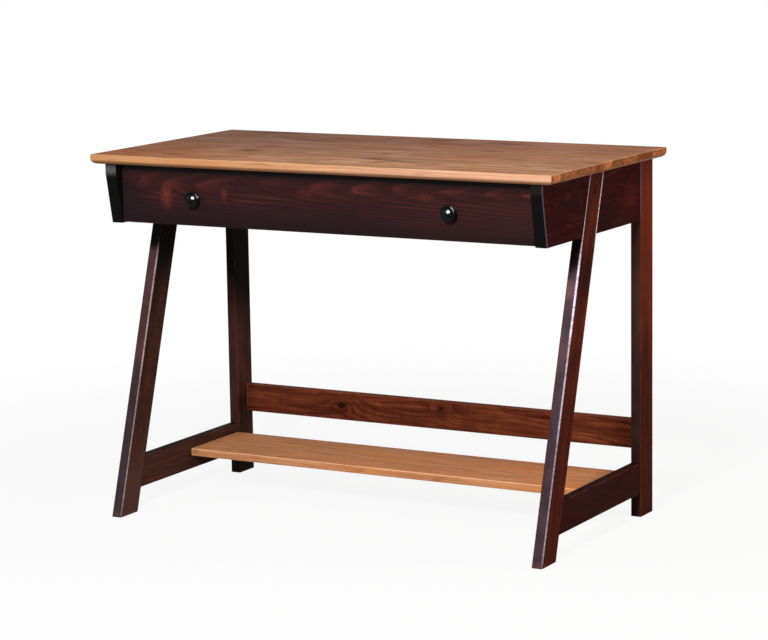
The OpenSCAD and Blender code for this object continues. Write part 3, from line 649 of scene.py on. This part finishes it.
# The nose of the side panels: the height of its upright part under the desktop, and how far its
# slope runs back from there to the panel's lower edge
NOSE_UPRIGHT = 0.020
NOSE_RUN = 0.0205

# Its bands around the kink between slope and upright: where a painted reflection turns it pale,
# and its cap of painted shadow
PALE_BAND = (-0.009, 0.007)
CAP_BAND = (0.009, 0.018)

# How deep its colours go: on the nose, on its outer arris, on the panel's inner face, and how far
# back they reach there
NOSE_SKIN = (0.0006, 0.0014)
ARRIS_SKIN = (0.0015, 0.0022)
INNER_SKIN = (0.0005, 0.0010)
INNER_REACH = (0.024, 0.030)


def nose_toning(g, colour):
    """The end grain of a side panel's nose is nearly black, with a painted reflection on its upright
    part, painted shadow on its cap and on the panel's inner face, and a painted highlight on its outer
    arris.
    """
    low = g.board["low"]
    inner, outer = sorted((abs(low.x), abs(g.board["high"].x)))
    kink = g.board["high"].z - NOSE_UPRIGHT
    x, y, z = g.split(g.place)
    up = g.math("SUBTRACT", z, kink)
    back = g.math("SUBTRACT", y, low.y)
    slope = g.times(g.math("MINIMUM", up, 0.0), NOSE_RUN / (low.z - kink))
    depth = g.math("SUBTRACT", back, slope)
    side = g.math("ABSOLUTE", x)

    # Up the nose: nearly black, then a pale painted reflection, most on the left panel, and a cap of
    # painted shadow above
    pale = g.mix(g.span(x, -0.2, 0.2), srgb(75, 70, 72), srgb(27, 22, 22))
    face = g.mix(g.span(up, *PALE_BAND), srgb(14, 12, 13), pale)
    face = g.mix(g.span(up, *CAP_BAND, 0.0, 0.55), face, srgb(24, 22, 23))

    # Painted shadow on the panel's inner face in front of the drawer, the nose itself, and a painted
    # highlight on its outer arris
    inside = g.fall(g.math("SUBTRACT", side, inner), *INNER_SKIN)
    colour = g.mix(g.times(inside, g.fall(back, *INNER_REACH)), colour, srgb(16, 12, 13))
    colour = g.mix(g.fall(depth, *NOSE_SKIN), colour, face)
    arris = g.math("ADD", depth, g.math("SUBTRACT", outer, side))
    return g.mix(g.fall(arris, *ARRIS_SKIN, 0.75), colour, srgb(72, 66, 72))


def tones(*colours, places=(0.0, 0.4, 0.7, 1.0)):
    """The stops of a wood's colours, from its darkest to its palest, and where each lies."""
    return tuple((place, srgb(*colour)) for place, colour in zip(places, colours))


# The reddish-brown wood of the desktop and the footrest, clear satin lacquer
NATURAL_PLACES = (0.0, 0.35, 0.62, 1.0)
NATURAL = {
    "marks": (), "staves": False,
    "stops": tones((128, 80, 52), (178, 124, 86), (206, 154, 113), (230, 184, 142), places=NATURAL_PLACES),
    "tone": 0.56, "streaks": 1.05, "fibres": 0.35, "curl": 0.10, "rings": 0.20,
    "streak_size": (0.16, 0.0065, 0.0065), "fibre_size": (0.035, 0.0013, 0.0013),
    "wander": 0.020, "wander_size": (0.40, 0.06, 0.06),
    "patch_size": (0.30, 0.06, 0.06), "patch_from": 0.48, "patches": 0.45,
    "patch_colour": srgb(196, 122, 68),
    "lens_size": (0.06, 0.006, 0.006), "lens_from": 0.66, "lenses": 0.6,
    "lens_colour": srgb(118, 66, 42),
    "pores": 0.35, "pore_colour": srgb(96, 56, 34),
    "end": 0.92, "end_colour": srgb(128, 74, 46),
    "wear": 0.30, "wear_width": 0.0020, "wear_colour": srgb(236, 190, 142),
    "rough": (0.30, 0.44), "relief": 0.25,
}
DESKTOP = dict(
    NATURAL, marks=(stave_tones, top_toning), staves=True, rings=0.42, streaks=1.15,
    streak_size=(0.20, 0.008, 0.008), lens_size=(0.09, 0.008, 0.008), lens_from=0.62, lenses=0.70,
    wear=0.14,
)
SHELF = dict(
    NATURAL,
    stops=tones((112, 64, 36), (160, 106, 70), (184, 128, 88), (208, 156, 112), places=NATURAL_PLACES),
    rings=0.12, fibres=0.26, patches=0.55,
)

# The dark red-brown stain of the frame
DARK = {
    "marks": (), "staves": False,
    "stops": tones((26, 10, 9), (46, 15, 13), (66, 21, 18), (96, 36, 28)),
    "tone": 0.52, "streaks": 0.60, "fibres": 0.40, "curl": 0.20, "rings": 0.26,
    "streak_size": (0.16, 0.010, 0.010), "fibre_size": (0.060, 0.0028, 0.0028),
    "wander": 0.024, "wander_size": (0.30, 0.05, 0.05),
    "patch_size": (0.14, 0.04, 0.04), "patch_from": 0.50, "patches": 0.55,
    "patch_colour": srgb(34, 15, 13),
    "lens_size": (0.05, 0.008, 0.008), "lens_from": 0.66, "lenses": 0.55,
    "lens_colour": srgb(98, 40, 24),
    "pores": 0.35, "pore_colour": srgb(18, 9, 8), "knots": 0.85, "knot_colour": srgb(16, 8, 7),
    "end": 0.92, "end_colour": srgb(18, 11, 10),
    "wear": 0.35, "wear_width": 0.0022, "wear_colour": srgb(112, 66, 52),
    "rough": (0.32, 0.46), "relief": 0.22,
}
PANEL = dict(
    DARK, marks=(nose_toning, shading),
    stops=tones((19, 6, 6), (34, 9, 9), (49, 13, 12), (76, 23, 19)),
    rings=-0.24, tone=0.41, fibres=0.45, lenses=0.3, knots=0.35, knot_colour=srgb(30, 12, 12),
    wear=0.14, wear_colour=srgb(64, 52, 54),
)
DRAWER = dict(
    DARK, marks=(drawer_toning,),
    stops=tones((27, 17, 18), (43, 23, 23), (64, 30, 28), (108, 48, 38)),
    rings=-0.34, tone=0.40, streaks=0.40, fibres=0.36, curl=0.12, lenses=0.0,
    patches=0.5, patch_colour=srgb(34, 18, 20),
    wander=0.020, wander_size=(0.34, 0.10, 0.10), wear=0.12, wear_colour=srgb(72, 42, 38),
)

# The legs on the right are redder than those on the left
RIGHT_LEG = dict(
    DARK, marks=(shading, blooming),
    stops=tones((40, 15, 10), (69, 26, 16), (90, 34, 21), (116, 48, 29)),
    streaks=1.0, lenses=0.7, wear=0.25, wear_colour=srgb(104, 52, 42),
)
LEFT_LEG = dict(
    DARK, marks=(shading, blooming),
    stops=tones((32, 19, 16), (54, 33, 27), (70, 42, 35), (92, 58, 48)),
    streaks=0.45, fibres=0.28, rings=0.14, patches=0.7, patch_colour=srgb(36, 19, 17),
    wear=0.25, wear_colour=srgb(88, 60, 50),
)
STRETCHER = dict(
    DARK,
    stops=tones((40, 16, 9), (80, 36, 22), (112, 56, 34), (168, 94, 62)),
    streaks=0.90, patch_colour=srgb(66, 30, 20), end_colour=srgb(44, 20, 14),
    wear_colour=srgb(140, 86, 62),
)
LEFT_STRETCHER = dict(
    DARK, marks=(dark_crown,),
    stops=tones((38, 22, 17), (56, 34, 27), (70, 43, 34), (90, 57, 45)),
    rings=0.14, patch_colour=srgb(40, 24, 20), wear_colour=srgb(96, 68, 58),
)
RIGHT_STRETCHER = dict(
    DARK,
    stops=tones((21, 8, 7), (36, 13, 11), (48, 18, 15), (66, 28, 23)),
    rings=0.12, lenses=0.0, patch_colour=srgb(30, 15, 14), wear_colour=srgb(92, 58, 50),
)

# Pale maple of the drawer box and the dowels, and softwood of the hidden rail
MAPLE = dict(
    NATURAL,
    stops=tones((176, 138, 92), (206, 172, 124), (222, 192, 146), (236, 212, 170)),
    streaks=0.65, rings=0.14, lenses=0.15, lens_colour=srgb(186, 148, 100),
    patch_colour=srgb(214, 178, 126), pore_colour=srgb(160, 124, 80),
    end_colour=srgb(188, 150, 102), wear_colour=srgb(240, 220, 184),
)
RAIL = dict(
    MAPLE,
    stops=tones((150, 100, 58), (184, 134, 84), (204, 158, 104), (222, 184, 130)),
    patch_colour=srgb(190, 140, 88),
)

# Each board's look, and where it lies with what is its own. A knot has its place and radius; a
# shade up the height, painted shade or a plain tint, its two heights, its strength at each and its
# tint; a spot of painted shade or of stain its place, half sizes, strength and tint. Highlight lines
# and sheen are painted light.
PANEL_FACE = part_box("side_panel_right")[1].x
BOARDS = {
    "desktop": (DESKTOP, board("desktop", "XYZ", 1.0, pith=(0.05, -0.11), drift=(0.05, 0.03))),
    "footrest_shelf": (SHELF, board(
        "footrest_shelf", "XYZ", 2.0, pith=(-0.02, -0.10),
        # A painted highlight along the shelf's upper front arris
        glint_colour=srgb(236, 188, 150), glints=((-1, 1, -0.50, 0.50, 0.0022, 0.60),))),
    "front_leg_left": (LEFT_LEG, leaning_board(
        "front_leg_left", 3.0,
        # Painted highlights along the front inner arris
        glint_colour=srgb(158, 142, 140),
        glints=((-1, -1, -0.12, 0.20, 0.0032, 0.95), (-1, -1, -0.42, -0.05, 0.0028, 0.60)),
        # The black upper part is the painted shadow of the case; the foot is paler and greyer
        shades=((0.44, 0.55, 0.0, 0.96, srgb(15, 13, 14)), (0.06, 0.20, 0.45, 0.0, srgb(78, 54, 49))),
        # Painted sheen on the front face, black with the painted shadow of the case above its height
        bloom=dict(
            facing=LEANING, share=0.88, dark_from=0.545,
            high_tint=srgb(64, 41, 42), low_tint=srgb(49, 41, 45),
            blotches=((0.345, 0.035, 0.6, srgb(78, 50, 52)), (0.485, 0.020, 0.5, srgb(74, 48, 52)))))),
    "front_leg_right": (RIGHT_LEG, leaning_board(
        "front_leg_right", 4.0, knots_at=(((0.5085, -0.0216, 0.7165), 0.007),),
        # Painted highlights along the front and the rear outer arris
        glint_colour=srgb(218, 208, 226),
        glints=((-1, -1, 0.02, 0.24, 0.0042, 1.0), (-1, -1, -0.17, 0.07, 0.0034, 0.60),
                (-1, -1, -0.42, -0.12, 0.0030, 0.36), (-1, -1, 0.19, 0.42, 0.0025, 0.55),
                (1, -1, 0.235, 0.42, 0.0070, 0.90)),
        # Darker at the top and towards the foot; the dark spot beside the front arris is painted shadow
        shades=((0.675, 0.745, 0.0, 0.60, srgb(34, 12, 12)), (0.30, 0.46, 0.50, 0.0, srgb(42, 16, 13))),
        stains=(((0.51, -0.082, 0.555), (0.03, 0.09, 0.095), 0.80, srgb(30, 11, 10)),),
        # Painted sheen on the front face, black with the painted shadow of the case above its height
        bloom=dict(
            facing=LEANING, share=0.88, dark_from=0.556,
            high_tint=srgb(68, 54, 58), low_tint=srgb(60, 48, 54),
            blotches=((0.527, 0.024, 0.9, srgb(100, 72, 74)), (0.410, 0.022, 0.7, srgb(90, 62, 66)),
                      (0.47, 0.03, 0.5, srgb(58, 48, 58)))))),
    "rear_leg_left": (LEFT_LEG, board(
        "rear_leg_left", "ZYX", 5.0,
        # Painted shadow of the case up top, painted shade at the foot and beside the back stretcher
        shades=((0.28, 0.46, 0.0, 0.96, srgb(14, 13, 13)), (0.05, 0.10, 0.7, 0.0, srgb(18, 16, 15))),
        stains=(((-0.485, 0.208, 0.163), (0.010, 0.030, 0.042), 0.75, srgb(46, 16, 14)),),
        # Painted sheen on the front and back faces, black with the painted shadow of the case above it
        bloom=dict(
            facing=UPRIGHT, share=0.70, dark_from=0.44,
            high_tint=srgb(50, 27, 26), low_tint=srgb(48, 30, 28), blotches=()))),
    "rear_leg_right": (RIGHT_LEG, board(
        "rear_leg_right", "ZYX", 6.0,
        # A painted highlight along the front outer arris
        glint_colour=srgb(120, 92, 128), glints=((-1, -1, 0.24, 0.40, 0.0026, 0.75),),
        # Darker towards the foot, a warm tint higher up, and darker at the top
        shades=((0.24, 0.50, 0.62, 0.0, srgb(40, 15, 12)), (0.44, 0.60, 0.0, 0.35, srgb(100, 40, 20)),
                (0.690, 0.752, 0.0, 0.50, srgb(52, 18, 14))),
        # Painted sheen on the front and back faces
        bloom=dict(
            facing=UPRIGHT, share=0.80, dark_from=0.80,
            high_tint=srgb(54, 39, 35), low_tint=srgb(46, 32, 30), blotches=()))),
    "side_panel_left": (PANEL, board("side_panel_left", "YZX", 7.0)),
    "side_panel_right": (PANEL, board(
        "side_panel_right", "YZX", 8.0,
        knots_at=(((PANEL_FACE, -0.1543, 0.7138), 0.009), ((PANEL_FACE, -0.0853, 0.7098), 0.011),
                  ((PANEL_FACE, 0.0284, 0.6987), 0.010)),
        stains=(((PANEL_FACE, -0.1480, 0.7180), (0.02, 0.024, 0.014), 0.22, srgb(84, 34, 30)),
                ((PANEL_FACE, -0.0880, 0.7040), (0.02, 0.014, 0.024), 0.16, srgb(84, 34, 30)),
                ((PANEL_FACE, 0.0150, 0.6450), (0.03, 0.040, 0.030), 0.60, srgb(22, 9, 9)),
                ((PANEL_FACE, 0.1500, 0.6850), (0.03, 0.060, 0.040), 0.40, srgb(76, 26, 20))))),
    "side_stretcher_left": (LEFT_STRETCHER, board("side_stretcher_left", "YZX", 9.0)),
    "side_stretcher_right": (RIGHT_STRETCHER, board("side_stretcher_right", "YZX", 10.0)),
    "back_stretcher": (STRETCHER, board(
        "back_stretcher", "XZY", 11.0,
        knots_at=(((-0.237, 0.24, 0.170), 0.011), ((0.015, 0.24, 0.184), 0.007)))),
    "case_back": (STRETCHER, board("case_back", "XZY", 12.0)),
    "front_rail": (RAIL, board("front_rail", "XYZ", 13.0)),
    "drawer_front": (DRAWER, board(
        "drawer_front", "XZY", 14.0, pith=(0.034, 0.070), drift=(0.006, -0.043), ring=0.0048)),
}

# The grain of the maple pieces, whose seeds go on from the last one above
FIRST_MAPLE_SEED = 15
MAPLE_GRAINS = {
    "drawer_box_front": "XZY", "drawer_box_back": "XZY",
    "drawer_side_left": "YZX", "drawer_side_right": "YZX", "drawer_bottom": "XYZ",
    "side_stretcher_dowels": "YZX", "back_stretcher_dowels": "XZY", "shelf_dowels": "XYZ",
    "case_back_dowels": "XZY", "front_rail_dowels": "XYZ",
}
for seed, (node, grain) in enumerate(MAPLE_GRAINS.items(), FIRST_MAPLE_SEED):
    BOARDS[node] = (MAPLE, board(node, grain, seed))


def on_sides(*names):
    """Each name for the left and for the right side."""
    return [f"{name}_{side}" for name in names for side in SIDES]


# The metal fittings: each finish's colour, spread of tones, roughness and pieces
FITTINGS = {
    "zinc_plate": (
        (0.46, 0.475, 0.50), 0.06, 0.34, on_sides("slide_outer", "slide_middle", "slide_inner")),
    "cage_steel": ((0.24, 0.25, 0.27), 0.18, 0.40, on_sides("ball_cage_outer", "ball_cage_inner")),
    "ball_steel": ((0.72, 0.73, 0.75), 0.05, 0.16, on_sides("balls_outer", "balls_inner")),
    "screw_plate": ((0.60, 0.52, 0.34), 0.16, 0.32, [
        "leg_screws", "front_rail_screws", "top_clip_screws", "slide_case_screws",
        "slide_drawer_screws", "knob_screws", "drawer_front_screws"]),
    "clip_plate": ((0.50, 0.51, 0.52), 0.08, 0.40, ["top_clips"]),
}
KNOBS = on_sides("drawer_knob")

# The metal's brushing and blotches
BRUSH_SIZE = (0.0006, 0.06, 0.0006)
SKIN_SIZE = (0.012, 0.02, 0.012)
BRUSH_DEPTH = 0.0002

# The knobs' enamel: the sizes of its orange peel and of the clouds in its film
PEEL_SIZE = (0.0022, 0.0022, 0.0022)
FILM_SIZE = (0.012, 0.012, 0.012)
PEEL_DEPTH = 0.0002
ENAMEL_SPECULAR = 0.055


def metal(name, colour, spread, rough):
    """Steel with brushing and a blotchy skin, whose tones lie a share of spread around colour."""
    g = Finish(name)
    brushing = g.noise(g.place, BRUSH_SIZE, detail=3, rough=0.6)
    skin = g.noise(g.place, SKIN_SIZE, detail=4, shift=3.0)
    pale = tuple(c * (1 + spread) for c in colour) + (1.0,)
    deep = tuple(c * (1 - spread) for c in colour) + (1.0,)
    tint = g.mix(g.span(skin, 0.3, 0.7), deep, pale)
    tint = g.mix(g.span(brushing, 0.35, 0.65, 0.0, 0.60), tint, deep)
    g.feed(g.shader.inputs["Base Color"], tint)
    dullness = g.span(skin, 0.3, 0.7, rough - 0.08, rough + 0.04)
    g.gloss(g.math("MULTIPLY_ADD", brushing, 0.16, dullness), Metallic=1.0)
    g.bump(brushing, 0.12, BRUSH_DEPTH)
    return g.material


def black_enamel():
    """Cast knobs in black enamel, with a faint orange peel."""
    g = Finish("knob_enamel")
    peel = g.noise(g.place, PEEL_SIZE, detail=2)
    film = g.noise(g.place, FILM_SIZE, detail=3, shift=2.0)
    colour = g.mix(g.span(film, 0.35, 0.65), srgb(3, 7, 6), srgb(6, 12, 10))
    g.feed(g.shader.inputs["Base Color"], colour)
    dullness = g.span(film, 0.3, 0.7, 0.15, 0.20)
    g.gloss(g.math("MULTIPLY_ADD", peel, 0.05, dullness), Specular_IOR_Level=ENAMEL_SPECULAR)
    g.bump(peel, 0.04, PEEL_DEPTH)
    return g.material


def dress(names, material):
    """Gives modelled pieces their finish, in every slot they have."""
    for name in names:
        for slot in nodes[name].material_slots:
            slot.material = material


def dress_all():
    for name, (look, at) in BOARDS.items():
        dress([name], wood(name + "_wood", at, look))
    for name, (colour, spread, rough, pieces) in FITTINGS.items():
        dress(pieces, metal(name, colour, spread, rough))
    dress(KNOBS, black_enamel())


def placed(name, data):
    """A new object of the scene, with this data."""
    made = bpy.data.objects.new(name, data)
    bpy.context.scene.collection.objects.link(made)
    return made


def seen(g):
    """1 for what the camera, a reflection or a clear body shows, and 0 for the light itself."""
    path = g.node("ShaderNodeLightPath").outputs
    shown = g.math("MAXIMUM", path["Is Camera Ray"], path["Is Glossy Ray"])
    return g.math("MAXIMUM", shown, path["Is Transmission Ray"])


def room(ambient):
    """A white surround that lights the object only as much as ambient says."""
    world = bpy.data.worlds.new("surround")
    bpy.context.scene.world = world
    world.use_nodes = True
    g = Graph(world.node_tree)
    light = g.tree.nodes["Background"]
    light.inputs["Color"].default_value = WHITE + (1.0,)
    g.feed(light.inputs["Strength"], g.between(seen(g), ambient, 1.0))


def floor_paint(grey, lift, near, far):
    """Matt grey paint. The camera sees it paler than its light makes it, by the share lift up to
    near and wholly beyond far, so that it keeps the desk's shadow and has no edge."""
    paint = bpy.data.materials.new("floor_paint")
    paint.use_nodes = True
    g = Graph(paint.node_tree)
    g.tree.nodes.clear()
    matt = g.node("ShaderNodeBsdfDiffuse")
    matt.inputs["Color"].default_value = (grey, grey, grey, 1.0)
    glow = g.node("ShaderNodeEmission")
    away = g.length(g.node("ShaderNodeTexCoord").outputs["Object"])
    blend = g.node("ShaderNodeMixShader")
    g.feed(blend.inputs["Fac"], g.times(seen(g), g.span(away, near, far, lift, 1.0)))
    g.feed(blend.inputs[1], matt.outputs[0])
    g.feed(blend.inputs[2], glow.outputs[0])
    g.feed(g.node("ShaderNodeOutputMaterial").inputs["Surface"], blend.outputs[0])
    return paint


def studio_floor(radius, paint):
    """A pale round floor under the desk."""
    mesh = bpy.data.meshes.new("studio_floor")
    made = bmesh.new()
    bmesh.ops.create_circle(made, cap_ends=True, segments=96, radius=radius)
    made.to_mesh(mesh)
    made.free()
    mesh.materials.append(paint)
    floor = placed("studio_floor", mesh)


def toward(azimuth, elevation):
    """The way to azimuth, 0 in front of the desk and 90 to its right, and elevation, in degrees."""
    around = math.radians(azimuth)
    up = math.radians(elevation)
    return Vector((math.sin(around) * math.cos(up), -math.cos(around) * math.cos(up), math.sin(up)))


def soft_lamp(name, azimuth, elevation, distance, size, power, colour=WHITE, aim=(0.0, 0.0, 0.45)):
    """A rectangular lamp, as far from what it aims at as distance says."""
    back = toward(azimuth, elevation)
    data = bpy.data.lights.new(name, "AREA")
    data.shape = "RECTANGLE"
    data.size = size[0]
    data.size_y = size[1]
    data.energy = power
    data.color = colour
    lamp = placed(name, data)
    lamp.location = Vector(aim) + back * distance
    lamp.rotation_mode = "QUATERNION"
    lamp.rotation_quaternion = back.to_track_quat("Z", "Y")
    return lamp


def only_shine_on(lamp, names):
    """Makes a lamp a mere highlight on the named glossy pieces, with no light of its own on any."""
    shiny = bpy.data.collections.new(lamp.name + "_receivers")
    for name in names:
        shiny.objects.link(nodes[name])
    lamp.light_linking.receiver_collection = shiny
    lamp.visible_diffuse = False


def photo_camera():
    """The camera, turned as the photographer held it, with its small roll."""
    roll = math.radians(CAMERA_ROLL)
    back = toward(CAMERA_AZIMUTH, CAMERA_PITCH)
    right = toward(CAMERA_AZIMUTH + 90, 0)
    up = back.cross(right)
    turned_right = math.cos(roll) * right + math.sin(roll) * up
    turned_up = math.cos(roll) * up - math.sin(roll) * right
    data = bpy.data.cameras.new("photo_camera")
    data.lens = CAMERA_LENS_MM
    data.sensor_width = SENSOR_MM
    camera = placed("photo_camera", data)
    turn = Matrix((turned_right, turned_up, back)).transposed().to_4x4()
    camera.matrix_world = Matrix.Translation(CAMERA_PLACE) @ turn
    bpy.context.scene.camera = camera


def light_all():
    """Three softboxes for the desk, and one that shines on the knobs only."""
    soft_lamp("key_lamp", azimuth=14, elevation=28, distance=3.4, size=(0.5, 0.5), power=120)
    soft_lamp("left_softbox", azimuth=-40, elevation=23, distance=3.2, size=(1.4, 1.2), power=28,
              colour=(0.94, 0.90, 1.0))
    soft_lamp("right_softbox", azimuth=104, elevation=14, distance=3.2, size=(1.2, 1.2), power=70,
              colour=(1.0, 0.88, 0.76))
    knob_lamp = soft_lamp("knob_softbox", azimuth=29, elevation=28, distance=2.3, size=(1.5, 1.5),
                          power=2600, aim=(0.0, -0.27, 0.69))
    only_shine_on(knob_lamp, KNOBS)


photo_camera()
room(ambient=0.12)
studio_floor(radius=9.0, paint=floor_paint(grey=0.62, lift=0.90, near=0.9, far=2.2))
light_all()
dress_all()

bpy.context.scene.view_settings.view_transform = "Standard"
